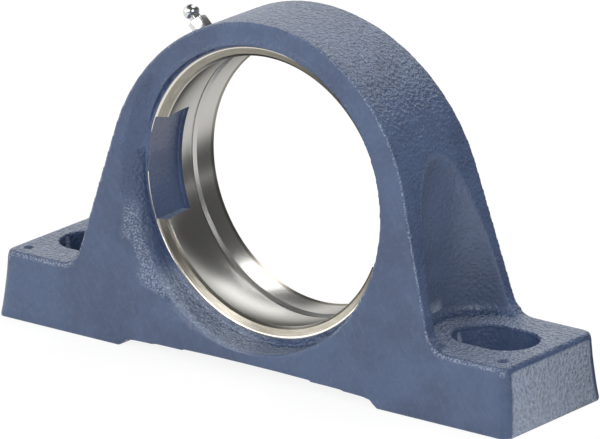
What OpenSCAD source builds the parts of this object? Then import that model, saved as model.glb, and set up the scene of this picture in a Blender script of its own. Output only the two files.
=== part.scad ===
// Plummer block: a cast pillow housing for a ball insert bearing.
// +X runs along the base, +Y points to the back and +Z points up.
// The origin is the middle of the base, under the bore's centre.

/* [Base] */
// Length of the base along the floor
base_length = 246; // [200:1:300]
// Width of the base along the floor
base_width = 62; // [50:0.5:80]
// Height of each foot
foot_height = 27; // [20:0.5:34]
// How far each end leans in over the foot's height
end_draft = 2.3; // [0.5:0.1:5]
// Radius of the upright corners of the feet
corner_radius = 4; // [2:0.5:6]
// Half the gap between the two pads under the base
relief_half_length = 62; // [40:1:75]
// Height of the step at the inner end of each pad
relief_step = 2.9; // [1:0.1:5]
// Length that each step slants over
relief_run = 3.4; // [1:0.1:5]
// Height of the relief in the middle of the base
relief_height = 4.7; // [3:0.1:7]

/* [Arch] */
// Height of the bore's centre above the floor
axis_height = 69.9; // [60:0.1:80]
// Radius of the outside of the arch
arch_radius = 72; // [68:0.5:80]
// How far the centre of the arch's outside lies below the bore's centre
arch_centre_drop = 5.4; // [0:0.1:8]
// Lean of the straight flanks, in degrees
flank_lean = 15.9; // [10:0.1:22]
// Radius where each flank meets its foot
flank_fillet = 10; // [5:0.5:15]
// How far the front and the back lean in up to the top of the arch
face_draft = 12.8; // [8:0.1:16]

/* [Bore] */
// Radius of the spherical seat
seat_radius = 55; // [52.5:0.1:56]
// Width of the machined seat in front of its centre
seat_front = 15.2; // [12:0.1:17]
// Width of the machined seat behind its centre
seat_back = 16.8; // [12:0.1:17.4]
// Radius of the lead-in cone at its outer edge
lead_in_radius = 56.9; // [56:0.1:58]
// Distance from the middle to each ring face
ring_face = 17.9; // [16:0.1:19]
// Radius of the cast recess around the front of the bore
recess_radius = 58.3; // [58.2:0.1:63]
// Radius of the cast recess around the back of the bore
back_recess_radius = 61.6; // [58.2:0.1:63]
// Distance that the recess lies below the bore's centre
recess_drop = 1.8; // [0:0.1:2]
// Distance that the recess lies to the right of the bore's centre
recess_shift = 0.7; // [0:0.1:1.5]
// Front edge of the grease groove, behind the centre of the seat
groove_start = 5.1; // [4:0.1:7]
// Width of the flat bottom of the grease groove
groove_floor = 1.2; // [0.5:0.1:3]
// Width of the slanted rear side of the grease groove
groove_slant = 2.4; // [0.5:0.1:4]
// Radius of the bottom of the grease groove
groove_radius = 55.9; // [55.4:0.1:57]

/* [Filling slots] */
// Half the height of each filling slot
filling_half_height = 20.5; // [16:0.5:24]
// Radius of the floor of each filling slot
filling_radius = 56.6; // [55.6:0.1:56.8]
// End of the filling slots, from the centre of the seat
filling_end = 0.4; // [-1:0.1:2]
// Radius of the corners at the end of each filling slot
filling_corner = 3; // [1:0.5:5]

/* [Bolt slots] */
// Distance between the middles of the two bolt slots
bolt_spacing = 190.5; // [180:0.5:200]
// Width of each slot at the floor
bolt_slot_width = 20; // [16:0.5:22]
// Length of each slot at the floor
bolt_slot_length = 30.3; // [24:0.1:34]
// Height of the straight part of each slot
bolt_slot_land = 9; // [4:0.5:15]
// How far the slot's wall leans out up to the top of the foot
bolt_slot_draft = 2.4; // [0.5:0.1:3]

/* [Side pockets] */
// Radius of the pocket cut into each flank over the slot
pocket_radius = 23.5; // [20:0.5:24]
// Radius round the foot of the pocket
pocket_fillet = 4.5; // [2:0.5:6]

/* [Locating dimples] */
// Distance of each dimple from the middle of the base
dimple_distance = 114.2; // [110:0.1:116]
// Distance of each dimple in front of the bore's centre
dimple_forward = 21.5; // [18:0.5:23]
// Radius of each dimple
dimple_radius = 2.4; // [1:0.1:3]
// Depth of each dimple
dimple_depth = 1.3; // [0.5:0.1:2]

/* [Grease nipple] */
// Distance of the nipple behind the centre of the seat
nipple_offset = 6.9; // [5:0.1:9]
// Direction of the nipple round the bore, in degrees from +X
nipple_angle = 134.3; // [120:0.1:150]
// Depth of the flat that the nipple seats on, cut into the arch
spot_face_depth = 0.44; // [0.2:0.02:1]
// Radius of the flat that the nipple seats on
spot_face_radius = 5.2; // [4.5:0.1:7]
// Height cut clear above the flat
spot_face_height = 6; // [4:0.5:8]
// Radius of the tapped hole
tapped_radius = 3; // [2.5:0.1:4]
// Clearance all round the nipple's stem
stem_clearance = 0.03; // [0.01:0.01:0.05]
// Length of the nipple's stem in the hole
stem_length = 6; // [4:0.5:8]
// Depth of the tapped hole
tapped_depth = 7; // [5:0.5:9]
// Radius of the drilled way to the grease groove
grease_way_radius = 0.9; // [0.5:0.1:1.5]
// Lean of the drilled way round the bore, in degrees
grease_way_lean = 37.6; // [0:0.1:38]
// Tilt of the drilled way to the front, in degrees
grease_way_tilt = 10.7; // [0:0.1:12]
// Width of the hexagon across its flats
hex_across_flats = 7; // [6:0.1:9]
// Height of the hexagon
hex_height = 7.2; // [3:0.1:9]
// Radius of the neck under the head
neck_radius = 2.3; // [2:0.1:2.6]
// Length of the neck
neck_length = 1.6; // [1:0.1:3]
// Radius of the head
head_radius = 3.25; // [3:0.05:3.5]
// Height of the head
head_height = 4.8; // [3.5:0.1:5.5]
// Height of the cone under the head
head_underside = 1.3; // [0.5:0.1:1.6]
// Height of the sloping crown of the head
head_crown = 1.2; // [0.5:0.1:1.6]
// Height of the cone round the top of the head
head_tip = 0.8; // [0.3:0.1:1.2]
// Width of the cone round the top of the head
head_tip_width = 0.75; // [0.3:0.05:1]
// Radius of the flat on top of the head
head_flat_radius = 1.7; // [1.4:0.1:2]
// Radius of the mouth in the head
mouth_radius = 0.85; // [0.7:0.05:1]
// Depth of the mouth's straight part
mouth_depth = 0.35; // [0.2:0.05:0.6]
// Radius of the bore inside the nipple
inner_bore_radius = 1.3; // [1.2:0.05:1.5]
// Radius of the nipple's outlet
outlet_radius = 0.75; // [0.5:0.05:1]
// Length of the narrow outlet
outlet_length = 1; // [0.5:0.1:2]

/* [Check valve] */
// Radius of the check ball
ball_radius = 1.1; // [0.9:0.05:1.2]
// Gap between the check ball and its seat
ball_gap = 0.015; // [0.01:0.005:0.03]
// Radius of the spring's wire
wire_radius = 0.16; // [0.1:0.01:0.2]
// Radius of the spring's coil to the middle of the wire
coil_radius = 0.82; // [0.7:0.01:0.9]
// Turns of the spring
coil_turns = 9; // [4:1:12]

/* [Hidden] */
past = 1;
casting_blue = [0.33, 0.39, 0.51];
zinc_grey = [0.78, 0.79, 0.8];
steel_grey = [0.7, 0.71, 0.73];
spring_grey = [0.45, 0.46, 0.48];
base_half = base_length / 2;
width_half = base_width / 2;
foot_half = base_half - end_draft;
arch_centre_height = axis_height - arch_centre_drop;
overall_height = arch_centre_height + arch_radius;
arch_across = arch_centre_drop * cos(nipple_angle);
arch_out = sqrt(arch_radius * arch_radius - arch_across * arch_across) - arch_centre_drop * sin(nipple_angle);
nipple_seat = arch_out - spot_face_depth;
face_slope = face_draft / overall_height;
foot_width_half = width_half - face_slope * foot_height;
tangent_x = arch_radius * cos(flank_lean);
tangent_z = arch_centre_height + arch_radius * sin(flank_lean);
flank_foot_x = tangent_x + (tangent_z - foot_height) * tan(flank_lean);
fillet_z = foot_height + flank_fillet;
fillet_x = tangent_x + (tangent_z - fillet_z) * tan(flank_lean) + flank_fillet / cos(flank_lean);
relief_inner = relief_half_length - relief_run;
relief_rise = relief_height - relief_step;
relief_radius = (relief_inner * relief_inner + relief_rise * relief_rise) / (2 * relief_rise);
groove_end = groove_start + groove_floor + groove_slant;
groove_edge = sqrt(seat_radius * seat_radius - groove_end * groove_end);
end_tilt = atan(end_draft / foot_height);
face_tilt = atan(face_slope);
slot_middle = bolt_spacing / 2;
slot_half_run = (bolt_slot_length - bolt_slot_width) / 2;
slot_half_width = bolt_slot_width / 2;
slot_rim_half_width = slot_half_width + bolt_slot_draft;
pocket_x = slot_middle - slot_half_run;
grease_way_length = nipple_seat - seat_radius - tapped_depth + 3 * past;
head_top = hex_height + neck_length + head_height;
head_tip_radius = head_flat_radius + head_tip_width;
ball_centre = head_top - mouth_depth - ball_gap - sqrt(ball_radius * ball_radius - mouth_radius * mouth_radius);
spring_foot = outlet_length - stem_length + wire_radius;
ball_touch = ball_radius + wire_radius + ball_gap;
spring_top = ball_centre - sqrt(ball_touch * ball_touch - coil_radius * coil_radius);

// The casting

module outline_flat() {
    polygon([[-base_half, 0], [base_half, 0], [foot_half, foot_height], [-foot_half, foot_height]]);
    translate([0, arch_centre_height])
        circle(r = arch_radius, $fn = 180);
    polygon([
        [-flank_foot_x, foot_height],
        [0, foot_height / 2],
        [flank_foot_x, foot_height],
        [tangent_x, tangent_z],
        [-tangent_x, tangent_z]
    ]);
    for (side = [-1, 1])
        scale([side, 1])
            flank_fillet_flat();
}

module flank_fillet_flat() {
    difference() {
        polygon([
            [fillet_x - flank_fillet * cos(flank_lean), fillet_z - flank_fillet * sin(flank_lean)],
            [tangent_x, foot_height - past],
            [fillet_x, foot_height - past],
            [fillet_x, fillet_z]
        ]);
        translate([fillet_x, fillet_z])
            circle(r = flank_fillet, $fn = 96);
    }
}

module drafted_block() {
    intersection() {
        rotate([90, 0, 0])
            translate([0, 0, -base_width])
                linear_extrude(height = 2 * base_width)
                    outline_flat();
        rotate([90, 0, 90])
            translate([0, 0, -base_length])
                linear_extrude(height = 2 * base_length)
                    polygon([
                        [-width_half, 0],
                        [width_half, 0],
                        [width_half - face_slope * 2 * overall_height, 2 * overall_height],
                        [face_slope * 2 * overall_height - width_half, 2 * overall_height]
                    ]);
    }
}

module corner_cutter() {
    // the round stands a little proud of both faces, so that it meets them along clean lines
    inset = corner_radius - 0.05;
    translate([base_half - inset, inset - width_half, 0])
        rotate([-face_tilt, -end_tilt, 0])
            difference() {
                translate([0, -3 * corner_radius, -foot_height])
                    cube([3 * corner_radius, 3 * corner_radius, 3 * foot_height]);
                translate([0, 0, -foot_height - past])
                    cylinder(r = corner_radius, h = 3 * foot_height + 2 * past, $fn = 48);
            }
}

module corner_cutters() {
    for (side = [0, 1])
        mirror([side, 0, 0])
            for (face = [0, 1])
                mirror([0, face, 0])
                    corner_cutter();
}

module base_relief() {
    intersection() {
        translate([0, 0, relief_height - relief_radius])
            rotate([90, 0, 0])
                cylinder(r = relief_radius, h = 3 * base_width, center = true, $fn = 720);
        rotate([90, 0, 0])
            translate([0, 0, -base_width])
                linear_extrude(height = 2 * base_width)
                    polygon([
                        [-relief_half_length - relief_run, -relief_step],
                        [relief_half_length + relief_run, -relief_step],
                        [relief_inner - relief_run, 2 * relief_step],
                        [relief_run - relief_inner, 2 * relief_step]
                    ]);
    }
}

module bore_void() {
    translate([0, 0, axis_height])
        rotate([90, 0, 0]) {
            sphere(r = seat_radius, $fn = 180);
            for (side = [0, 1])
                mirror([0, 0, side]) {
                    seat_edge = side == 0 ? seat_front : seat_back;
                    lead_slope = (lead_in_radius - seat_mouth(seat_edge)) / (ring_face - seat_edge);
                    translate([0, 0, seat_edge - past])
                        cylinder(
                            r1 = seat_mouth(seat_edge) - past * lead_slope,
                            r2 = lead_in_radius,
                            h = ring_face - seat_edge + past,
                            $fn = 180
                        );
                    translate([recess_shift, -recess_drop, ring_face])
                        cylinder(r = side == 0 ? recess_radius : back_recess_radius, h = base_width, $fn = 180);
                }
            translate([0, 0, -groove_start - groove_floor])
                cylinder(r = groove_radius, h = groove_floor, $fn = 180);
            translate([0, 0, -groove_end])
                cylinder(r1 = groove_edge, r2 = groove_radius, h = groove_slant, $fn = 180);
        }
}

function seat_mouth(edge) = sqrt(seat_radius * seat_radius - edge * edge);

module filling_slots() {
    intersection() {
        translate([0, -ring_face - past, axis_height])
            rotate([-90, 0, 0])
                cylinder(r = filling_radius, h = ring_face + past + filling_end, $fn = 180);
        union() {
            translate([-base_half, -base_width, axis_height - filling_half_height])
                cube([base_length, base_width + filling_end - filling_corner, 2 * filling_half_height]);
            translate([-base_half, -base_width, axis_height - filling_half_height + filling_corner])
                cube([base_length, base_width + filling_end, 2 * (filling_half_height - filling_corner)]);
            for (level = [-1, 1])
                translate([
                    -base_half,
                    filling_end - filling_corner,
                    axis_height + level * (filling_half_height - filling_corner)
                ])
                    rotate([0, 90, 0])
                        cylinder(r = filling_corner, h = base_length, $fn = 48);
        }
    }
}

module bolt_slot() {
    slot_run(slot_half_width, slot_half_width, -past, bolt_slot_land + 2 * past);
    slot_run(slot_half_width, slot_rim_half_width, bolt_slot_land, foot_height - bolt_slot_land);
    slot_run(slot_rim_half_width, slot_rim_half_width, foot_height, past / 2);
}

module slot_run(low_half, high_half, low, rise) {
    translate([slot_middle, 0, low]) {
        for (side = [-1, 1])
            translate([side * slot_half_run, 0, 0])
                cylinder(r1 = low_half, r2 = high_half, h = rise, $fn = 64);
        rotate([90, 0, 90])
            translate([0, 0, -slot_half_run])
                linear_extrude(height = 2 * slot_half_run)
                    polygon([[-low_half, 0], [low_half, 0], [high_half, rise], [-high_half, rise]]);
    }
}

module side_pocket() {
    inner = pocket_radius - pocket_fillet;
    translate([pocket_x, 0, foot_height]) {
        cylinder(r = inner, h = overall_height, $fn = 96);
        translate([0, 0, pocket_fillet]) {
            cylinder(r = pocket_radius, h = overall_height, $fn = 96);
            rotate_extrude($fn = 96)
                translate([inner, 0])
                    circle(r = pocket_fillet, $fn = 48);
        }
    }
}

module dimple() {
    translate([dimple_distance, -dimple_forward, foot_height - dimple_depth])
        cylinder(r1 = dimple_radius * 0.45, r2 = dimple_radius, h = dimple_depth, $fn = 32);
}

module at_nipple() {
    translate([0, nipple_offset, axis_height])
        rotate([0, 90 - nipple_angle, 0])
            translate([0, 0, nipple_seat])
                children();
}

module nipple_hole() {
    at_nipple() {
        cylinder(r = spot_face_radius, h = spot_face_height, $fn = 64);
        translate([0, 0, -tapped_depth])
            cylinder(r = tapped_radius, h = tapped_depth + past, $fn = 64);
        // the way runs from the bottom of the tapped hole into the front corner of the grease groove
        translate([0, 0, -tapped_depth])
            rotate([-grease_way_tilt, grease_way_lean, 0])
                translate([0, 0, -grease_way_length])
                    cylinder(r = grease_way_radius, h = grease_way_length + past / 2, $fn = 48);
    }
}

module housing() {
    color(casting_blue)
        difference() {
            drafted_block();
            corner_cutters();
            base_relief();
            bore_void();
            filling_slots();
            for (side = [0, 1])
                mirror([side, 0, 0]) {
                    bolt_slot();
                    side_pocket();
                    dimple();
                }
            nipple_hole();
        }
}

// The grease nipple

module nipple_outside() {
    hex_corner = hex_across_flats / sqrt(3);
    translate([0, 0, -stem_length])
        cylinder(r = tapped_radius - stem_clearance, h = stem_length + past, $fn = 64);
    intersection() {
        rotate([0, 0, 30])
            cylinder(r = hex_corner, h = hex_height, $fn = 6);
        union() {
            cylinder(r = hex_corner + past, h = hex_height - past, $fn = 64);
            translate([0, 0, hex_height - past])
                cylinder(r1 = hex_corner + past, r2 = hex_across_flats / 2 - 0.2, h = past, $fn = 64);
        }
    }
    cylinder(r = neck_radius, h = hex_height + neck_length + past, $fn = 64);
    translate([0, 0, hex_height + neck_length]) {
        cylinder(r1 = neck_radius, r2 = head_radius, h = head_underside, $fn = 64);
        translate([0, 0, head_underside])
            cylinder(r = head_radius, h = head_height - head_underside - head_crown - head_tip, $fn = 64);
        translate([0, 0, head_height - head_crown - head_tip])
            cylinder(r1 = head_radius, r2 = head_tip_radius, h = head_crown, $fn = 64);
        translate([0, 0, head_height - head_tip])
            cylinder(r1 = head_tip_radius, r2 = head_flat_radius, h = head_tip, $fn = 64);
    }
}

module nipple_inside() {
    throat = head_top - mouth_depth - (inner_bore_radius - mouth_radius);
    translate([0, 0, -stem_length - past])
        cylinder(r = outlet_radius, h = stem_length, $fn = 48);
    translate([0, 0, outlet_length - stem_length])
        cylinder(r = inner_bore_radius, h = throat + stem_length - outlet_length, $fn = 48);
    translate([0, 0, throat])
        cylinder(r1 = inner_bore_radius, r2 = mouth_radius, h = inner_bore_radius - mouth_radius, $fn = 48);
    translate([0, 0, head_top - mouth_depth - 0.01])
        cylinder(r = mouth_radius, h = mouth_depth + past, $fn = 48);
}

module nipple_body() {
    color(zinc_grey)
        at_nipple()
            difference() {
                nipple_outside();
                nipple_inside();
            }
}

// The check valve

function coil_point(step, steps, corner, corners) =
    let (
        turn = 360 * coil_turns * step / steps,
        rise = spring_foot + (spring_top - spring_foot) * step / steps,
        bend = 360 * corner / corners,
        out = coil_radius + wire_radius * cos(bend)
    )
    [out * cos(turn), out * sin(turn), rise + wire_radius * sin(bend)];

module nipple_spring() {
    steps = 12 * coil_turns;
    corners = 6;
    ring_points = [
        for (step = [0 : steps])
            for (corner = [0 : corners - 1])
                coil_point(step, steps, corner, corners)
    ];
    sides = [
        for (step = [0 : steps - 1])
            for (corner = [0 : corners - 1])
                let (next = (corner + 1) % corners)
                [
                    step * corners + corner,
                    step * corners + next,
                    (step + 1) * corners + next,
                    (step + 1) * corners + corner
                ]
    ];
    first_cap = [for (corner = [0 : corners - 1]) corners - 1 - corner];
    last_cap = [for (corner = [0 : corners - 1]) steps * corners + corner];
    color(spring_grey)
        at_nipple()
            polyhedron(points = ring_points, faces = concat(sides, [first_cap], [last_cap]));
}

module check_ball() {
    color(steel_grey)
        at_nipple()
            translate([0, 0, ball_centre])
                sphere(r = ball_radius, $fn = 48);
}

housing();
nipple_body();
nipple_spring();
check_ball();
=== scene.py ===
import math
import bpy
from mathutils import Matrix, Vector


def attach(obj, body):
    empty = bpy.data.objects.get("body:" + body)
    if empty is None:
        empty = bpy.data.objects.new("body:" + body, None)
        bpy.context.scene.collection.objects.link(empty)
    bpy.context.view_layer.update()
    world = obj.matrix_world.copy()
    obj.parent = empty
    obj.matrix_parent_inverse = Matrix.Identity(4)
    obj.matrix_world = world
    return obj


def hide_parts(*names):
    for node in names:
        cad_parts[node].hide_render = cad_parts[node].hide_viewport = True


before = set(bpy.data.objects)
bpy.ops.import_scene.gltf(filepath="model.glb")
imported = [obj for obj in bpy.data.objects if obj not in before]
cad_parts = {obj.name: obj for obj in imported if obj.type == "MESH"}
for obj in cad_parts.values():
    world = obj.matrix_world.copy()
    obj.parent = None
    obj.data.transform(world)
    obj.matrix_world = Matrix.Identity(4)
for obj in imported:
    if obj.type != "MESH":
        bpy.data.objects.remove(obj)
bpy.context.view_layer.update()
print("frame loaded")

# everything below is in metres; +X runs along the base, +Y is the back of the housing, +Z is up

axisHeight = 0.0699
boreCentre = Vector((0, 0, axisHeight))
alongDepth = (math.pi / 2, 0, 0)  # turns a cylinder so that it lies along the bore


# modelling helpers

def unselectAll():
    if bpy.context.object and bpy.context.object.mode != "OBJECT":
        bpy.ops.object.mode_set(mode="OBJECT")
    bpy.ops.object.select_all(action="DESELECT")


def pick(piece):
    unselectAll()
    piece.select_set(True)
    bpy.context.view_layer.objects.active = piece


def named(name):
    piece = bpy.context.object
    piece.name = name
    piece.data.name = name
    return piece


def settle(piece):
    # puts the place and turn of a piece into its mesh
    pick(piece)
    bpy.ops.object.transform_apply(location=True, rotation=True, scale=True)
    return piece


def moveTo(piece, place, turn=(0, 0, 0)):
    piece.rotation_euler = turn
    piece.location = place
    return settle(piece)


def giveFinish(piece, material):
    piece.data.materials.clear()
    piece.data.materials.append(material)
    return piece


def finishWith(piece, kind, **settings):
    # adds one modifier and applies it
    pick(piece)
    modifier = piece.modifiers.new(kind.title(), kind)
    for key, value in settings.items():
        setattr(modifier, key, value)
    bpy.ops.object.modifier_apply(modifier=modifier.name)
    return piece


def breakEdges(piece, width, segments, sharperThan):
    angle = math.radians(sharperThan)
    return finishWith(piece, "BEVEL", width=width, segments=segments, limit_method="ANGLE", angle_limit=angle)


def mergeDoubles(piece, distance):
    pick(piece)
    bpy.ops.object.mode_set(mode="EDIT")
    bpy.ops.mesh.select_all(action="SELECT")
    bpy.ops.mesh.remove_doubles(threshold=distance)
    bpy.ops.object.mode_set(mode="OBJECT")
    return piece


def faceOutwards(piece):
    pick(piece)
    bpy.ops.object.mode_set(mode="EDIT")
    bpy.ops.mesh.select_all(action="SELECT")
    bpy.ops.mesh.normals_make_consistent(inside=False)
    bpy.ops.object.mode_set(mode="OBJECT")
    return piece


def carve(piece, cutter, operation="DIFFERENCE"):
    # the cut faces take the cutter's own material
    finishWith(piece, "BOOLEAN", object=cutter, operation=operation, solver="MANIFOLD", material_mode="TRANSFER")
    bpy.data.objects.remove(cutter)
    return piece


def joinInto(piece, others):
    pick(piece)
    for other in others:
        other.select_set(True)
    bpy.ops.object.join()
    return piece


def addCylinder(name, radius, depth, place, turn=(0, 0, 0), sides=64):
    unselectAll()
    bpy.ops.mesh.primitive_cylinder_add(vertices=sides, radius=radius, depth=depth, location=place, rotation=turn)
    return settle(named(name))


def addCone(name, lowRadius, highRadius, depth, place, sides):
    unselectAll()
    bpy.ops.mesh.primitive_cone_add(
        vertices=sides, radius1=lowRadius, radius2=highRadius, depth=depth, location=place
    )
    return settle(named(name))


def spinProfile(name, profile, steps):
    # turns a chain of (radius, height) points round the Z axis
    unselectAll()
    bpy.ops.mesh.primitive_plane_add(size=0.001)
    piece = named(name)
    bpy.ops.object.mode_set(mode="EDIT")
    bpy.ops.mesh.select_all(action="SELECT")
    bpy.ops.mesh.merge(type="CENTER")
    radius, height = profile[0]
    bpy.ops.transform.translate(value=(radius, 0, height))
    for nextRadius, nextHeight in profile[1:]:
        bpy.ops.mesh.extrude_region_move(
            TRANSFORM_OT_translate={"value": (nextRadius - radius, 0, nextHeight - height)}
        )
        radius, height = nextRadius, nextHeight
    bpy.ops.mesh.select_all(action="SELECT")
    bpy.ops.mesh.spin(steps=steps, angle=2 * math.pi, center=(0, 0, 0), axis=(0, 0, 1))
    bpy.ops.object.mode_set(mode="OBJECT")
    return faceOutwards(mergeDoubles(piece, 1e-6))


# materials

def paintColour(code):
    # an sRGB hex colour as linear values
    parts = [int(code[i:i + 2], 16) / 255 for i in (1, 3, 5)]
    linear = [v / 12.92 if v <= 0.04045 else ((v + 0.055) / 1.055) ** 2.4 for v in parts]
    return (*linear, 1)


def addNode(tree, kind, links=(), **settings):
    # adds a node; links holds its inputs in order or by name, and a node there stands for its first output
    node = tree.nodes.new("ShaderNode" + kind)
    for key, value in settings.items():
        setattr(node, key, value)
    for key, value in links.items() if isinstance(links, dict) else enumerate(links):
        if isinstance(value, bpy.types.Node):
            value = value.outputs[0]
        if isinstance(value, bpy.types.NodeSocket):
            tree.links.new(value, node.inputs[key])
        else:
            node.inputs[key].default_value = value
    return node


def newMaterial(name):
    material = bpy.data.materials.new(name)
    material.use_nodes = True
    tree = material.node_tree
    tree.nodes.clear()
    shader = addNode(tree, "BsdfPrincipled")
    addNode(tree, "OutputMaterial", {"Surface": shader})
    return material, tree, shader


def zone(tree, *fades):
    # a mask that is 1 inside a zone; each fade is a measure with its values just outside and well inside
    mask = None
    for measure, (outside, inside) in fades:
        fade = addNode(tree, "MapRange", (measure, outside, inside), interpolation_type="SMOOTHSTEP")
        mask = addNode(tree, "Math", (mask, fade), operation="MULTIPLY") if mask else fade
    return mask


def layeredColour(tree, base, layers):
    # lays colours over a base, each as far as its mask and its cover say
    shade = paintColour(base)
    for mask, cover, code in layers:
        share = addNode(tree, "Math", (mask, cover), operation="MULTIPLY")
        shade = addNode(
            tree, "Mix", {"Factor": share, "A": shade, "B": paintColour(code)}, data_type="RGBA"
        ).outputs["Result"]
    return shade


castPaint = {
    "deepBlue": "#42516F",
    "blue": "#4C5D7D",
    "dustBlue": "#75808F",
    # a pale blue-grey laid on for dust and wear, and as painted light: the sheen on bump tops, the recess highlight
    # and the paler pockets
    "dustWearAndLightBlue": "#A3ADBF",
    "slotDust": "#6C6F84",
    "streakCover": 0.12,      # how much of the coat each layer hides
    "dustAndSheenCover": 0.5,
    "pocketCover": 0.1,
    "wearAndHighlightCover": 0.6,
    "slotCover": 0.6,
    "endDustAndSheen": 1.7,           # how thick the dust and painted sheen lie on the ends, on the feet and on the arch
    "footDustAndSheen": 0.85,
    "archDustAndSheen": 0.75,
    "skinGrain": 0.0014,      # spacing of the bumps left by the moulding sand, coarser than real so that they show
    "skinWaves": 0.006,       # size of the soft hollows between them
    "faceRipple": 0.0024,     # spacing of the ripples on the rubbed-down front and back
    "strokeLength": 0.006,
    "strokeWidth": 0.0008,
    "strokeDepth": 1 / 60,    # how far a stroke reaches into the casting, so that it doesn't break up
    "strokeTurn": math.radians(-52),
    "patchSize": 0.025,
    "speckSize": 1 / 1500,
    "patches": (0.35, 0.65),  # the noise just outside and well inside a patch, a streak, a speck and a bump's top
    "streaks": (0.5, 0.72),
    "specks": (0.45, 0.62),
    "bumpTops": (0.3, 0.66),
    "thinDustAndSheen": 0.65,         # how much of the dust and painted sheen is left between the bumps
    "evenRecessHighlight": 0.5,          # the painted highlight on the recess between its specks, and how much brighter the painted glints in them are
    "recessGlints": 0.8,
    "relief": 0.0007,
    "grainHeight": 4.4,       # heights in shares of the relief
    "waveHeight": 0.6,
    "rippleHeight": 0.65,
    "strokeHeight": 0.2,
    "sideCoarseness": 0.28,   # how coarse the upright faces and the ends are, where the faces on top are 1
    "endCoarseness": 0.6,
    "calmed": -0.5,           # and how much smoother the pockets, bolt slots and filling slots are
    "hollowsAndTops": (0.3, 0.7),
    "roughness": (0.42, 0.28),     # in the hollows and on the tops
    "ior": 1.5,
    "pocketAxis": (0.0901, 0, 0),
}

# where the zones of the casting's finish end: each measure just outside the zone, then well inside it. A face's
# turn is the share of its direction that points to the front, to the side or up
castZones = {
    "squareOn": (0.975, 0.99),
    "beyondRecess": (0.0585, 0.0605),     # from the axis of the bore
    "cornerTurn": (0.1, 0.25),
    "cornerDepth": (0.02, 0.022),
    "cornerTop": (0.022, 0.0195),
    "pocketRadius": (0.0246, 0.0236),     # from the upright axis of the side pocket
    "pocketFloor": (0.028, 0.031),
    "slotRadius": (0.022, 0.021),
    "slotTop": (0.0265, 0.025),
    "boreWall": (0.0575, 0.0572),
    "footHeight": (0.04, 0.03),
    "archHeight": (0.03, 0.04),
    "endFace": (0.98, 0.995),
    "footFace": (0.9, 0.98),
    "archFace": (0.62, 0.97),
    "edgeTurn": (0.45, 0.75),
    "edgeEnd": (0.985, 0.95),
    "edgeClearOfPocket": (0.0236, 0.0242),
    "edgeHeight": (0.0225, 0.0245),
    "rimRadius": (0.066, 0.067),
    "dishTop": (0.06, 0.052),
    "recessRadius": (0.0617, 0.0605),
    "recessSide": (0.008, -0.01),
    "recessTop": (0.036, 0.026),
    "slotMouth": (-0.001, -0.008),
    "slotUpper": (0.055, 0.08),
    "coarseTurn": (0.55, 0.9),
}


def castingZones(tree, place):
    # the parts of the casting that look different, each as a mask
    x, y, z = addNode(tree, "SeparateXYZ", (place,)).outputs
    faceX, faceY, faceZ = addNode(tree, "SeparateXYZ", (addNode(tree, "NewGeometry").outputs["Normal"],)).outputs
    sideways = addNode(tree, "Math", (faceX,), operation="ABSOLUTE")
    squarely = addNode(tree, "Math", (faceY,), operation="ABSOLUTE")
    depth = addNode(tree, "Math", (y,), operation="ABSOLUTE")
    across = addNode(tree, "VectorMath", (place, (1, 0, 1)), operation="MULTIPLY")
    fromAxis = addNode(tree, "VectorMath", (across, boreCentre), operation="DISTANCE").outputs["Value"]
    mirrored = addNode(tree, "VectorMath", (place,), operation="ABSOLUTE")
    level = addNode(tree, "VectorMath", (mirrored, (1, 1, 0)), operation="MULTIPLY")
    fromPocket = addNode(
        tree, "VectorMath", (level, castPaint["pocketAxis"]), operation="DISTANCE"
    ).outputs["Value"]

    # rubbed down: the front and back without the recess, and the upright corners of the feet up to the ends
    front = zone(tree, (squarely, castZones["squareOn"]), (fromAxis, castZones["beyondRecess"]))
    corner = zone(
        tree, (squarely, castZones["cornerTurn"]), (depth, castZones["cornerDepth"]), (z, castZones["cornerTop"])
    )
    pocket = zone(tree, (fromPocket, castZones["pocketRadius"]), (z, castZones["pocketFloor"]))
    slot = zone(tree, (fromPocket, castZones["slotRadius"]), (z, castZones["slotTop"]))
    calm = addNode(tree, "Math", (pocket, slot), operation="MAXIMUM")
    calm = addNode(tree, "Math", (calm, zone(tree, (fromAxis, castZones["boreWall"]))), operation="MAXIMUM")
    # the rounded edges are the only other faces turned part way to the front
    edge = zone(
        tree, (squarely, castZones["edgeTurn"]), (squarely, castZones["edgeEnd"]),
        (fromPocket, castZones["edgeClearOfPocket"]), (z, castZones["edgeHeight"])
    )
    dish = zone(tree, (fromAxis, castZones["beyondRecess"]), (z, castZones["dishTop"]))
    bared = addNode(tree, "Math", (zone(tree, (fromAxis, castZones["rimRadius"])), dish), operation="MAXIMUM")
    return {
        "rubbed": addNode(tree, "Math", (front, corner), operation="MAXIMUM"),
        "pocket": pocket,
        "calm": calm,
        "feet": zone(tree, (z, castZones["footHeight"])),
        "ends": zone(tree, (sideways, castZones["endFace"]), (z, castZones["footHeight"])),
        "footTops": zone(tree, (faceZ, castZones["footFace"])),
        "archTop": zone(tree, (faceZ, castZones["archFace"]), (z, castZones["archHeight"])),
        "edges": addNode(tree, "Math", (edge, bared), operation="MULTIPLY"),
        "recess": zone(
            tree, (fromAxis, castZones["recessRadius"]), (x, castZones["recessSide"]), (z, castZones["recessTop"])
        ),
        "fillingSlots": zone(
            tree, (fromAxis, castZones["boreWall"]), (y, castZones["slotMouth"]), (z, castZones["slotUpper"])
        ),
        "upwards": faceZ,
    }


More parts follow.
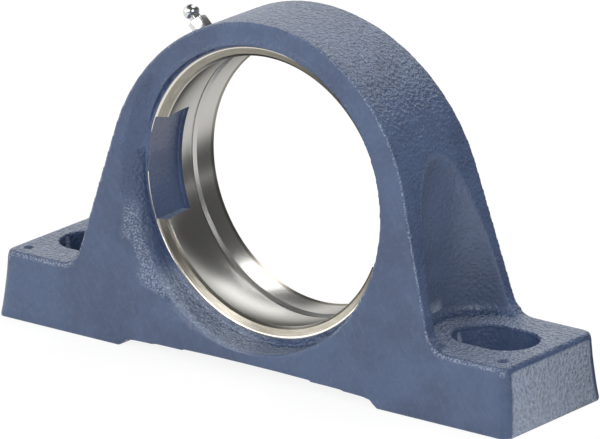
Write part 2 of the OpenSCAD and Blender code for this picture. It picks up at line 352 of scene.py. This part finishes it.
def paintedSandCasting():
    # sand-cast iron under one coat of blue paint: a leathery orange-peel skin with small glints, smoother and
    # streaked where the front and back were rubbed down, and thin and pale along the edges; its colour also holds
    # painted light: a painted sheen on the bump tops that look up or to the ends, a painted highlight over the recess
    material, tree, shader = newMaterial("painted sand cast iron")
    place = addNode(tree, "TexCoord").outputs["Object"]
    zones = castingZones(tree, place)

    noises = {}
    for name, size, detail, roughness in (
        ("grain", castPaint["skinGrain"], 1.5, 0.45),
        ("waves", castPaint["skinWaves"], 2.0, 0.5),
        ("ripple", castPaint["faceRipple"], 3.0, 0.55),
        ("patches", castPaint["patchSize"], 4.0, 0.6),
        ("specks", castPaint["speckSize"], 2.0, 0.6),
    ):
        noises[name] = addNode(tree, "TexNoise", {
            "Vector": place, "Scale": 1 / size, "Detail": detail, "Roughness": roughness
        })
    turned = addNode(tree, "Mapping", {"Vector": place, "Rotation": (0, castPaint["strokeTurn"], 0)})
    slanted = addNode(tree, "Mapping", {"Vector": turned, "Scale": (
        1 / castPaint["strokeLength"], 1 / castPaint["strokeDepth"], 1 / castPaint["strokeWidth"]
    )})
    strokes = addNode(tree, "TexNoise", {"Vector": slanted, "Scale": 1.0, "Detail": 2.0})

    # dusty streaks on the rubbed faces
    streaks = zone(tree, (strokes, castPaint["streaks"]))
    streaks = addNode(tree, "Math", (streaks, zones["rubbed"]), operation="MULTIPLY")
    # faces that look up or to the ends carry a grey veil on the tops of their bumps: partly dust, partly a painted
    # sheen and painted glints where the light would catch them
    endDustAndSheenMask = addNode(tree, "Math", (zones["ends"], castPaint["endDustAndSheen"]), operation="MULTIPLY")
    footDustAndSheenMask = addNode(tree, "Math", (zones["footTops"], castPaint["footDustAndSheen"]), operation="MULTIPLY")
    archDustAndSheenMask = addNode(tree, "Math", (zones["archTop"], castPaint["archDustAndSheen"]), operation="MULTIPLY")
    dustAndSheenMask = addNode(tree, "Math", (endDustAndSheenMask, footDustAndSheenMask), operation="MAXIMUM")
    dustAndSheenMask = addNode(tree, "Math", (dustAndSheenMask, zones["feet"]), operation="MULTIPLY")
    dustAndSheenMask = addNode(tree, "Math", (dustAndSheenMask, archDustAndSheenMask), operation="MAXIMUM")
    onBumps = addNode(
        tree, "MapRange", (noises["grain"], *castPaint["bumpTops"], castPaint["thinDustAndSheen"], 1.0),
        interpolation_type="SMOOTHSTEP"
    )
    dustAndSheenMask = addNode(tree, "Math", (dustAndSheenMask, onBumps), operation="MULTIPLY")
    # worn through in specks along the edges and the dish; all over the recess below it a painted highlight, brighter
    # still in painted glints on the specks
    specks = zone(tree, (noises["specks"], castPaint["specks"]))
    wearAndRecessHighlight = addNode(tree, "Math", (zones["edges"], specks), operation="MULTIPLY")
    recessHighlight = addNode(
        tree, "Math", (specks, castPaint["recessGlints"], castPaint["evenRecessHighlight"]), operation="MULTIPLY_ADD"
    )
    recessHighlight = addNode(tree, "Math", (recessHighlight, zones["recess"]), operation="MULTIPLY")
    wearAndRecessHighlight = addNode(tree, "Math", (wearAndRecessHighlight, recessHighlight), operation="MAXIMUM")
    shade = layeredColour(tree, castPaint["deepBlue"], (
        (zone(tree, (noises["patches"], castPaint["patches"])), 1.0, castPaint["blue"]),
        (streaks, castPaint["streakCover"], castPaint["dustBlue"]),
        # dust, with a painted sheen and painted glints on the bump tops
        (dustAndSheenMask, castPaint["dustAndSheenCover"], castPaint["dustWearAndLightBlue"]),
        # paler in the side pockets: partly dust, partly painted light that lifts their shade
        (zones["pocket"], castPaint["pocketCover"], castPaint["dustWearAndLightBlue"]),
        # wear along the edges, and the painted highlight with its painted glints over the recess
        (wearAndRecessHighlight, castPaint["wearAndHighlightCover"], castPaint["dustWearAndLightBlue"]),
        (zones["fillingSlots"], castPaint["slotCover"], castPaint["slotDust"]),
    ))
    tree.links.new(shade, shader.inputs["Base Color"])

    # coarsest on the faces that looked up in the mould
    waves = addNode(tree, "Math", (noises["waves"], castPaint["waveHeight"]), operation="MULTIPLY")
    skin = addNode(tree, "Math", (noises["grain"], castPaint["grainHeight"], waves), operation="MULTIPLY_ADD")
    coarse = addNode(
        tree, "MapRange", (zones["upwards"], *castZones["coarseTurn"], castPaint["sideCoarseness"], 1.0),
        interpolation_type="SMOOTHSTEP"
    )
    coarseEnds = addNode(tree, "Math", (zones["ends"], castPaint["endCoarseness"]), operation="MULTIPLY")
    coarse = addNode(tree, "Math", (coarse, coarseEnds), operation="MAXIMUM")
    skin = addNode(tree, "Math", (skin, coarse), operation="MULTIPLY")
    calming = addNode(tree, "Math", (zones["calm"], castPaint["calmed"], 1.0), operation="MULTIPLY_ADD")
    skin = addNode(tree, "Math", (skin, calming), operation="MULTIPLY")
    scratches = addNode(tree, "Math", (strokes, castPaint["strokeHeight"]), operation="MULTIPLY")
    rubbed = addNode(tree, "Math", (noises["ripple"], castPaint["rippleHeight"], scratches), operation="MULTIPLY_ADD")
    relief = addNode(tree, "Mix", {"Factor": zones["rubbed"], "A": skin, "B": rubbed}, data_type="FLOAT")
    bump = addNode(tree, "Bump", {"Height": relief, "Strength": 1.0, "Distance": castPaint["relief"]})
    tree.links.new(bump.outputs["Normal"], shader.inputs["Normal"])
    gloss = addNode(tree, "MapRange", (noises["grain"], *castPaint["hollowsAndTops"], *castPaint["roughness"]))
    tree.links.new(gloss.outputs[0], shader.inputs["Roughness"])
    shader.inputs["IOR"].default_value = castPaint["ior"]
    return material


machinedFinish = {
    "iron": "#C2C1BD",
    "oiledIron": "#8E897D",
    "edgeHighlight": "#E4E0D6",
    "glancing": "#8E8C88",        # how much it reflects at a flat angle
    "roughness": 0.25,
    "feed": 0.0004,               # spacing of the turned rings, drawn coarser than the real feed so that they show
    "brushWidth": 1 / 3200,       # width of a brush line, coarser than the real one too
    "brushPerRadian": 9.0,        # lines that follow one another along the bore's circle
    "speckle": 1 / 2600,
    "relief": 0.00005,
    "strength": 0.35,
    "speckleHeight": 0.35,        # heights against those of the brush lines
    "ringHeight": 0.12,
    "evenOil": 0.5,               # how brown the cones are at least, and how much more along the brush lines
    "streakyOil": 0.8,
    "coneStart": (0.0152, 0.0158),     # from the middle of the bore: the lead-in cone, then the broken edge with its painted highlight
    "edgeStart": (0.0173, 0.01745),
}


def turnedIron():
    # bare iron turned in a lathe: bright, brushed round the bore, browner on the lead-in cones where the oil stays,
    # with a painted highlight along the broken edges
    material, tree, shader = newMaterial("turned bare iron")
    place = addNode(tree, "TexCoord").outputs["Object"]
    x, y, z = addNode(tree, "SeparateXYZ", (place,)).outputs
    depth = addNode(tree, "Math", (y,), operation="ABSOLUTE")
    height = addNode(tree, "Math", (z, boreCentre.z), operation="SUBTRACT")
    angle = addNode(tree, "Math", (height, x), operation="ARCTAN2")
    unrolled = addNode(tree, "CombineXYZ", (
        addNode(tree, "Math", (angle, machinedFinish["brushPerRadian"]), operation="MULTIPLY"),
        addNode(tree, "Math", (y, 1 / machinedFinish["brushWidth"]), operation="MULTIPLY"),
    ))
    brushed = addNode(tree, "TexNoise", {"Vector": unrolled, "Scale": 1.0, "Detail": 3.0, "Roughness": 0.6})
    speckle = addNode(tree, "TexNoise", {"Vector": place, "Scale": 1 / machinedFinish["speckle"], "Detail": 1.0})
    turns = addNode(tree, "Math", (y, 2 * math.pi / machinedFinish["feed"]), operation="MULTIPLY")
    rings = addNode(tree, "Math", (turns,), operation="SINE")
    relief = addNode(tree, "Math", (speckle, machinedFinish["speckleHeight"], brushed), operation="MULTIPLY_ADD")
    relief = addNode(tree, "Math", (rings, machinedFinish["ringHeight"], relief), operation="MULTIPLY_ADD")
    bump = addNode(tree, "Bump", {
        "Height": relief, "Strength": machinedFinish["strength"], "Distance": machinedFinish["relief"]
    })
    tree.links.new(bump.outputs["Normal"], shader.inputs["Normal"])
    oiled = addNode(
        tree, "Math", (brushed, machinedFinish["streakyOil"], machinedFinish["evenOil"]), operation="MULTIPLY_ADD"
    )
    oiled = addNode(
        tree, "Math", (oiled, zone(tree, (depth, machinedFinish["coneStart"]))), operation="MULTIPLY"
    )
    tone = layeredColour(tree, machinedFinish["iron"], (
        (oiled, 1.0, machinedFinish["oiledIron"]),
        # the broken edge painted pale: a painted highlight
        (zone(tree, (depth, machinedFinish["edgeStart"])), 1.0, machinedFinish["edgeHighlight"]),
    ))
    tree.links.new(tone, shader.inputs["Base Color"])
    shader.inputs["Metallic"].default_value = 1.0
    shader.inputs["Specular Tint"].default_value = paintColour(machinedFinish["glancing"])
    shader.inputs["Roughness"].default_value = machinedFinish["roughness"]
    return material


nippleSteels = {
    # turned steel under bright zinc: nearly mirror-like with a faint blue-white cast
    "bright zinc plated steel": {
        "colour": "#D6D7D6", "roughness": 0.2, "grain": 1 / 1500, "detail": 2.0, "strength": 0.15, "relief": 0.00005,
    },
    # plain wire: grey and satin, with faint lines left by the die
    "drawn spring steel": {
        "colour": "#8E9094", "roughness": 0.35, "grain": 1 / 4000, "detail": 1.0, "strength": 0.1, "relief": 0.00002,
    },
    # a ground and polished ball: bright, with sharp reflections
    "polished ball steel": {
        "colour": "#B9BBBD", "roughness": 0.15, "grain": 1 / 4000, "detail": 1.0, "strength": 0.1, "relief": 0.00002,
    },
}


def nippleSteel(name):
    finish = nippleSteels[name]
    material, tree, shader = newMaterial(name)
    place = addNode(tree, "TexCoord").outputs["Object"]
    grain = addNode(tree, "TexNoise", {"Vector": place, "Scale": 1 / finish["grain"], "Detail": finish["detail"]})
    bump = addNode(tree, "Bump", {"Height": grain, "Strength": finish["strength"], "Distance": finish["relief"]})
    tree.links.new(bump.outputs["Normal"], shader.inputs["Normal"])
    shader.inputs["Base Color"].default_value = paintColour(finish["colour"])
    shader.inputs["Metallic"].default_value = 1.0
    shader.inputs["Roughness"].default_value = finish["roughness"]
    return material


paint = paintedSandCasting()
bareIron = turnedIron()
print("materials made")


# the casting

casting = {
    "voxel": 0.0006,
    "allOver": 7,             # smoothing steps that round every edge by about 1 mm
    "softEdges": 64,          # further steps that bring the edges of the feet to about 3.5 mm
    "softCorners": 90,        # and more for the upright corners of the feet
    "triangles": 150000,
    "smoothUpTo": math.radians(58),
    "creasedFrom": math.radians(18),  # among the machined faces
    "slotX": 0.09525,
    "slotKeep": 0.0205,       # half the length and half the width kept crisp round each bolt slot
    "slotKeepWidth": 0.0135,
    "footStart": 0.06,        # the soft edges lie beyond this and below footSoftTop, and fade in above the base
    "footSoftTop": 0.029,
    "softBase": 0.002,
    "softRise": 0.008,
    "cornerStart": (0.108, 0.017),
    "cornerBase": 0.0005,
    "cornerRise": 0.003,
    "cornerTop": 0.024,
    "cornerFall": 0.006,
    "footTop": 0.027,
    "ringFace": 0.0179,
    "stockRadius": 0.0574,
    "plugRadius": 0.0034,     # fills the nipple's hole and the dimples while the edges are rounded
    "plugStart": 0.0565,
    "plugDepth": 0.006,
    "nippleAngle": math.radians(134.3),
    "nippleY": 0.0069,
    "nippleSeat": 0.0676,
    "tappedRadius": 0.003,
    "tappedDepth": 0.007,
    "tappedOverrun": 0.002,
    "greaseWay": 0.0009,
    "wayLength": 0.0085,
    "wayMiddle": -0.004,
    "wayLean": math.radians(37.6),
    "wayTilt": math.radians(-10.7),
    "dimpleX": 0.1142,
    "dimpleY": -0.0215,
    "dimpleRadii": (0.0009, 0.0027),
    "dimpleHeight": 0.002,
    "dimpleSink": 0.0002,
}


def alongNipple(distance):
    angle = casting["nippleAngle"]
    return boreCentre + Vector((distance * math.cos(angle), casting["nippleY"], distance * math.sin(angle)))


def nippleTurn():
    return (0, math.pi / 2 - casting["nippleAngle"], 0)


def castingStock():
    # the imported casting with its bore, nipple hole and dimples filled in again, as it leaves the mould
    unselectAll()
    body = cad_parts["housing"].copy()
    body.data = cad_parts["housing"].data.copy()
    bpy.context.scene.collection.objects.link(body)
    body.parent = None
    for key in list(body.keys()):
        del body[key]
    body.name = "plummerHousing"
    body.data.name = "plummerHousing"
    body.hide_render = False
    body.hide_viewport = False
    mergeDoubles(body, 2e-6)
    start, end = casting["plugStart"], casting["nippleSeat"]
    fills = [
        addCylinder("boreStock", casting["stockRadius"], 2 * casting["ringFace"], boreCentre, alongDepth, 192),
        addCylinder(
            "nippleStock", casting["plugRadius"], end - start, alongNipple((start + end) / 2), nippleTurn(), 32
        ),
    ]
    for side in (-1, 1):
        middle = casting["footTop"] - casting["plugDepth"] / 2
        fills.append(addCylinder(
            "dimpleStock", casting["plugRadius"], casting["plugDepth"],
            (side * casting["dimpleX"], casting["dimpleY"], middle)
        ))
    return joinInto(body, fills)


def edgeSoftness(point):
    # how far each place goes beyond the rounding that every edge gets, from 0 to 1
    x, y, z = abs(point.x), abs(point.y), point.z
    if abs(x - casting["slotX"]) < casting["slotKeep"] and y < casting["slotKeepWidth"]:
        return 0.0
    if x > casting["footStart"] and z < casting["footSoftTop"]:
        return min(1.0, max(0.0, (z - casting["softBase"]) / casting["softRise"]))
    return 0.0


def cornerSoftness(point):
    # the upright corners of the feet are rounder still
    x, y, z = abs(point.x), abs(point.y), point.z
    startX, startY = casting["cornerStart"]
    if x < startX or y < startY or z > casting["cornerTop"]:
        return 0.0
    rising = max(0.0, (z - casting["cornerBase"]) / casting["cornerRise"])
    falling = max(0.0, (casting["cornerTop"] - z) / casting["cornerFall"])
    return min(1.0, rising, falling)


def roundLikeCasting(body):
    finishWith(body, "REMESH", mode="VOXEL", voxel_size=casting["voxel"], adaptivity=0.0)
    print("casting remeshed:", len(body.data.polygons), "faces")
    finishWith(body, "SMOOTH", factor=0.5, iterations=casting["allOver"])
    for name, softness in (("softEdges", edgeSoftness), ("softCorners", cornerSoftness)):
        group = body.vertex_groups.new(name=name)
        levels = {}
        for vertex in body.data.vertices:
            levels.setdefault(round(softness(vertex.co), 1), []).append(vertex.index)
        for level, members in levels.items():
            if level > 0:
                group.add(members, level, "REPLACE")
        finishWith(body, "SMOOTH", factor=0.5, iterations=casting[name], vertex_group=name)
    body.vertex_groups.clear()
    finishWith(body, "DECIMATE", ratio=casting["triangles"] / (2 * len(body.data.polygons)))
    print("casting edges rounded")
    return body


bore = {
    "seat": 0.055,
    "seatFront": 0.0152,
    "seatBack": 0.0168,
    "seatChamfer": (0.0539, 0.0162),   # where the narrow chamfer at the seat's mouth meets the lead-in cone
    "leadIn": 0.0568,
    "chamfer": 0.0003,        # broken edge at each ring face, made bright by a painted highlight in the turned iron
    "ring": 0.0179,
    "reach": 0.034,           # the cutter runs out past the faces in a narrower neck
    "neck": (0.048, 0.052),
    "overrun": (0.0003, 0.0004),
    "grooveStart": 0.0051,
    "grooveFloor": 0.0076,
    "grooveEnd": 0.0087,
    "grooveRadius": 0.0555,
    "grooveLean": 0.0001,
    "fillingRadius": 0.0569,
    "fillingHalf": 0.0205,
    "fillingEnd": 0.0004,
    "fillingReach": 0.025,
    "fillingCorner": 0.0012,
    "fillingBar": (0.2, 0.1),
    "trimRadius": 0.0577,     # the front face is cut back round the ring, most at the left
    "trimX": -0.001,
    "trimDepth": 0.015,
    "dishRadius": 0.0538,     # the dished part of the recess, at the left of the ring
    "dishSlope": 0.95,
    "dishDepth": 0.022,
    "dishX": -0.004,
    "dishZ": 0.0154,
    "dishTilt": math.radians(7),
}


def seatArc(start, end, steps):
    points = []
    for i in range(steps + 1):
        y = start + (end - start) * i / steps
        points.append((math.sqrt(bore["seat"] ** 2 - y ** 2), y))
    return points


def boreCutter():
    # the lathe's path: lead-in cone, spherical seat with its grease groove, lead-in cone
    ring, edge = bore["ring"], bore["leadIn"] + bore["chamfer"]
    neckEnd, neckStart = bore["neck"]
    along, beyond = bore["overrun"]
    mouth, mouthDepth = bore["seatChamfer"]
    runOut = [
        (0, bore["reach"]), (neckEnd, bore["reach"]), (neckStart, ring + beyond), (edge + along, ring + along),
        (edge, ring), (bore["leadIn"], ring - bore["chamfer"])
    ]
    path = [(radius, -y) for radius, y in runOut]
    path += [(mouth, -mouthDepth)]
    path += seatArc(-bore["seatFront"], bore["grooveStart"], 20)
    path += [
        (bore["grooveRadius"], bore["grooveStart"] + bore["grooveLean"]), (bore["grooveRadius"], bore["grooveFloor"])
    ]
    path += seatArc(bore["grooveEnd"], bore["seatBack"], 10)
    path += reversed(runOut)
    cutter = spinProfile("boreCutter", path, 240)
    moveTo(cutter, boreCentre, (-math.pi / 2, 0, 0))  # the path's height becomes +Y
    return giveFinish(cutter, bareIron)


def trimCutter():
    place = boreCentre + Vector((bore["trimX"], -bore["ring"] - bore["trimDepth"] / 2, 0))
    return giveFinish(addCylinder("trimCutter", bore["trimRadius"], bore["trimDepth"], place, alongDepth, 240), paint)


def dishCutter():
    # widens the recess at the left, where its wall runs out towards the front face
    depth = bore["dishDepth"]
    wide = bore["dishRadius"] + bore["dishSlope"] * depth
    cutter = addCone("dishCutter", bore["dishRadius"], wide, depth, (0, 0, depth / 2), 192)
    place = boreCentre + Vector((bore["dishX"], -bore["ring"], bore["dishZ"]))
    moveTo(cutter, place, (math.pi / 2 + bore["dishTilt"], 0, 0))
    return giveFinish(cutter, paint)


def fillingCutter():
    # one bar across the bore leaves both filling slots
    middle = boreCentre + Vector((0, (bore["fillingEnd"] - bore["fillingReach"]) / 2, 0))
    length = bore["fillingReach"] + bore["fillingEnd"]
    cutter = addCylinder("fillingCutter", bore["fillingRadius"], length, middle, alongDepth, 192)
    unselectAll()
    bpy.ops.mesh.primitive_cube_add(size=1, location=middle, scale=(*bore["fillingBar"], 2 * bore["fillingHalf"]))
    carve(cutter, settle(named("fillingBar")), "INTERSECT")
    breakEdges(cutter, bore["fillingCorner"], 5, 40)
    return giveFinish(cutter, paint)


def nippleHoleCutter():
    seat, deep, over = casting["nippleSeat"], casting["tappedDepth"], casting["tappedOverrun"]
    tapped = addCylinder(
        "tappedHole", casting["tappedRadius"], deep + over, alongNipple(seat + (over - deep) / 2), nippleTurn(), 48
    )
    # the grease way leans from the bottom of the tapped hole to the front corner of the groove
    way = addCylinder("greaseWay", casting["greaseWay"], casting["wayLength"], (0, 0, casting["wayMiddle"]), sides=32)
    moveTo(way, (0, 0, seat - deep), (casting["wayTilt"], casting["wayLean"], 0))
    moveTo(way, alongNipple(0), nippleTurn())
    carve(tapped, way, "UNION")
    return giveFinish(tapped, bareIron)


def dimpleCutter(side):
    place = (side * casting["dimpleX"], casting["dimpleY"], casting["footTop"] - casting["dimpleSink"])
    return giveFinish(addCone("dimpleCutter", *casting["dimpleRadii"], casting["dimpleHeight"], place, 32), paint)


def creaseMachined(body):
    # turned surfaces meet in crisp lines
    pick(body)
    bpy.ops.object.mode_set(mode="EDIT")
    bpy.ops.mesh.select_mode(type="FACE")
    bpy.ops.mesh.select_all(action="DESELECT")
    body.active_material_index = [slot.name for slot in body.material_slots].index(bareIron.name)
    bpy.ops.object.material_slot_select()
    bpy.ops.mesh.hide(unselected=True)
    bpy.ops.mesh.select_mode(type="EDGE")
    bpy.ops.mesh.select_all(action="DESELECT")
    bpy.ops.mesh.edges_select_sharp(sharpness=casting["creasedFrom"])
    bpy.ops.mesh.mark_sharp()
    bpy.ops.mesh.reveal()
    bpy.ops.mesh.select_mode(type="VERT")
    bpy.ops.object.mode_set(mode="OBJECT")


def makeHousing():
    body = castingStock()
    giveFinish(body, paint)
    roundLikeCasting(body)
    for cutter in (trimCutter, dishCutter, fillingCutter, boreCutter, nippleHoleCutter):
        carve(body, cutter())
    for side in (-1, 1):
        carve(body, dimpleCutter(side))
    pick(body)
    bpy.ops.object.shade_smooth_by_angle(angle=casting["smoothUpTo"])
    creaseMachined(body)
    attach(body, "casting")
    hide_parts("housing")
    print("bore machined:", len(body.data.polygons), "faces")


makeHousing()


# the grease nipple

nipple = {
    # radius and height above the spot face in millimetres: up the outside, over the head and down the bore
    "outline": (
        (0.75, -6.0), (2.75, -6.0), (2.97, -5.8), (2.97, 0.5), (2.3, 0.6), (2.3, 8.7), (2.45, 8.95), (2.75, 9.25),
        (3.05, 9.7), (3.22, 10.2), (3.25, 10.8), (3.2, 11.4), (3.02, 11.95), (2.75, 12.45), (2.4, 12.95), (2.0, 13.35),
        (1.65, 13.56), (1.4, 13.6), (0.95, 13.6), (0.85, 13.5), (0.85, 13.25), (1.3, 12.8), (1.3, -5.0), (0.75, -5.0),
        (0.75, -6.0)
    ),
    "acrossFlats": 0.007,
    "hexHeight": 0.0072,
    "hexBevel": 0.00035,
    "coreRadius": 0.0021,     # keeps the hexagon out of the nipple's bore
    "coreLength": 0.02,
    "coreMiddle": 0.005,
    "smoothUpTo": math.radians(28),
}


def makeNipple():
    body = spinProfile("greaseNippleBody", [(x / 1000, z / 1000) for x, z in nipple["outline"]], 72)
    height = nipple["hexHeight"]
    hexagon = addCylinder("nippleHexagon", nipple["acrossFlats"] / math.sqrt(3), height, (0, 0, height / 2), sides=6)
    breakEdges(hexagon, nipple["hexBevel"], 3, 30)
    carve(hexagon, addCylinder("nippleCore", nipple["coreRadius"], nipple["coreLength"], (0, 0, nipple["coreMiddle"])))
    carve(body, hexagon, "UNION")
    moveTo(body, alongNipple(casting["nippleSeat"]), nippleTurn())
    giveFinish(body, nippleSteel("bright zinc plated steel"))
    bpy.ops.object.shade_smooth_by_angle(angle=nipple["smoothUpTo"])
    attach(body, "casting")
    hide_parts("nipple_body")


makeNipple()
giveFinish(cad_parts["nipple_spring"], nippleSteel("drawn spring steel"))
giveFinish(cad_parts["check_ball"], nippleSteel("polished ball steel"))
print("nipple finished")


# floor, light and camera

studio = {
    "skyStrength": 0.5,
    "bright": 1.05,           # what shiny surfaces see of the white tent
    "dark": 0.1,              # and of the dark room beyond it
    "leftBright": 2.2,
    "rearBright": 1.5,
    "floor": "#F6F6F6",
    "floorRoughness": 0.9,
    "floorSize": 6,
    "floorDrop": 0.0002,      # how far the floor lies below the base
    "floorGlow": 0.85,        # how much of the floor's look is plain white; the rest keeps the shadow
    "floorWhite": 1.04,
    "table": ((0.06, 0.12), (-0.02, 0.05)),  # in X and in Y
    # the gaps and panels that shiny surfaces see: limits of the direction in X, Y and Z, outside then inside
    "backRightGap": ((-0.06, 0.16), (-0.45, -0.1), (-0.05, 0.1)),
    "frontGap": ((-0.4, -0.2), (-0.35, -0.65), (-0.1, 0.05)),
    "topGap": (0.55, 0.72),
    "leftPanel": ((-0.45, -0.7), (-0.1, -0.3), (0.5, 0.35)),
    "rearPanel": ((0.05, -0.1), (0.35, 0.55), (0.12, 0.25)),
    # how bright each softbox looks, its size and its place; all of them aim at the bore
    "aim": Vector((0, 0, 0.07)),
    "softboxes": {
        "topSoftbox": (4.5, (0.8, 1.1), (0.15, 0.6, 1.8)),
        "rearSoftbox": (0.9, (1.1, 0.7), (-0.5, 1.6, 1.25)),
        "frontSoftbox": (4.2, (1.1, 0.8), (-0.35, -1.75, 1.1)),
        "sideSoftbox": (5.0, (0.9, 0.7), (1.5, -0.95, 1.1)),
    },
}


def makeFloor():
    unselectAll()
    bpy.ops.mesh.primitive_plane_add(size=studio["floorSize"], location=(0, 0, -studio["floorDrop"]))
    floor = settle(named("studioFloor"))
    # the floor looks white, and keeps part of the housing's shadow
    material, tree, shader = newMaterial("pale studio floor")
    shader.inputs["Base Color"].default_value = paintColour(studio["floor"])
    shader.inputs["Roughness"].default_value = studio["floorRoughness"]
    rays = addNode(tree, "LightPath").outputs
    seen = addNode(tree, "Math", (rays["Is Glossy Ray"], rays["Is Transmission Ray"]), operation="MAXIMUM")
    seen = addNode(tree, "Math", (rays["Is Camera Ray"], seen), operation="MAXIMUM")
    seen = addNode(tree, "Math", (seen, studio["floorGlow"]), operation="MULTIPLY")
    glow = addNode(tree, "Emission", {"Color": (1, 1, 1, 1), "Strength": studio["floorWhite"]})
    sheet = addNode(tree, "MixShader", (seen, shader, glow))
    # beyond the white sheet, at the back right, the housing sees the dark table
    place = addNode(tree, "SeparateXYZ", (addNode(tree, "TexCoord").outputs["Object"],)).outputs
    beyond = zone(tree, *zip(place[:2], studio["table"]))
    thrown = addNode(tree, "Math", (rays["Is Glossy Ray"], rays["Is Diffuse Ray"]), operation="MAXIMUM")
    beyond = addNode(tree, "Math", (beyond, thrown), operation="MULTIPLY")
    table = addNode(tree, "Emission", {"Color": (1, 1, 1, 1), "Strength": studio["dark"]})
    ground = addNode(tree, "MixShader", (beyond, sheet, table))
    output = [node for node in tree.nodes if node.type == "OUTPUT_MATERIAL"][0]
    tree.links.new(ground.outputs[0], output.inputs["Surface"])
    giveFinish(floor, material)


def addSoftbox(name, radiance, size, place):
    # a lamp's power follows from how bright its face looks
    unselectAll()
    bpy.ops.object.light_add(type="AREA", location=place)
    lamp = bpy.context.object
    lamp.name = name
    lamp.data.energy = radiance * math.pi * size[0] * size[1]
    lamp.data.shape = "RECTANGLE"
    lamp.data.size, lamp.data.size_y = size
    lamp.rotation_mode = "QUATERNION"
    lamp.rotation_quaternion = (studio["aim"] - Vector(place)).to_track_quat("-Z", "Y")


def lightStudio():
    # a white tent lights the object evenly; shiny surfaces also see dark gaps at the back right, the front and the top
    world = bpy.data.worlds.new("studioWorld")
    world.use_nodes = True
    tree = world.node_tree
    tree.nodes.clear()
    rays = addNode(tree, "LightPath").outputs
    toward = addNode(tree, "SeparateXYZ", (addNode(tree, "TexCoord").outputs["Generated"],)).outputs
    gap = zone(tree, (toward["Z"], studio["topGap"]))
    for name in ("backRightGap", "frontGap"):
        gap = addNode(tree, "Math", (gap, zone(tree, *zip(toward, studio[name]))), operation="MAXIMUM")
    # and two brighter panels, at the left and at the back left
    reflected = studio["bright"]
    for mask, strength in (
        (zone(tree, *zip(toward, studio["leftPanel"])), studio["leftBright"]),
        (zone(tree, *zip(toward, studio["rearPanel"])), studio["rearBright"]),
        (gap, studio["dark"]),
    ):
        reflected = addNode(tree, "Mix", {"Factor": mask, "A": reflected, "B": strength}, data_type="FLOAT")
    lit = addNode(tree, "Mix", {
        "Factor": rays["Is Glossy Ray"], "A": studio["skyStrength"], "B": reflected
    }, data_type="FLOAT")
    seen = addNode(tree, "Math", (rays["Is Camera Ray"], rays["Is Transmission Ray"]), operation="MAXIMUM")
    strength = addNode(tree, "Mix", {"Factor": seen, "A": lit, "B": 1.0}, data_type="FLOAT")
    background = addNode(tree, "Background", {"Color": (1, 1, 1, 1), "Strength": strength})
    addNode(tree, "OutputWorld", {"Surface": background})
    bpy.context.scene.world = world
    for name, settings in studio["softboxes"].items():
        addSoftbox(name, *settings)


# the photograph's camera, fitted with the height of the bore's axis as its unit; it stands 1 / 0.023 units away
photoView = {
    "azimuth": math.radians(37.8902),
    "elevation": math.radians(17.8391),
    "roll": math.radians(-0.3219),
    "distance": axisHeight / 0.023,
    "focalPixels": 184.0026 / 0.023,
    "aim": Vector((0, 0.4 * axisHeight - 0.031, axisHeight)),
    "aimAt": (289.3832, 183.6873),   # the pixel where the aim shows
    "frame": (600, 439),
    "sensor": 36,
    "clip": (0.1, 50),
}


def placeCamera():
    azimuth, elevation, roll = (photoView[name] for name in ("azimuth", "elevation", "roll"))
    back = Vector((
        math.sin(azimuth) * math.cos(elevation),
        -math.cos(azimuth) * math.cos(elevation),
        math.sin(elevation),
    ))
    level = (-back).cross(Vector((0, 0, 1))).normalized()
    upright = level.cross(-back)
    right = math.cos(roll) * level + math.sin(roll) * upright
    up = -math.sin(roll) * level + math.cos(roll) * upright
    width, height = photoView["frame"]
    perPixel = photoView["distance"] / photoView["focalPixels"]
    across = (photoView["aimAt"][0] - width / 2) * perPixel
    down = (photoView["aimAt"][1] - height / 2) * perPixel
    bpy.ops.object.camera_add(
        location=photoView["aim"] - across * right + down * up + photoView["distance"] * back
    )
    camera = bpy.context.object
    camera.name = "photoCamera"
    camera.rotation_mode = "QUATERNION"
    camera.rotation_quaternion = Matrix((right, up, back)).transposed().to_quaternion()
    camera.data.sensor_width = photoView["sensor"]
    camera.data.lens = photoView["focalPixels"] * photoView["sensor"] / width
    camera.data.clip_start, camera.data.clip_end = photoView["clip"]
    bpy.context.scene.camera = camera


makeFloor()
lightStudio()
placeCamera()
bpy.context.scene.view_settings.view_transform = "Standard"
print("studio set")
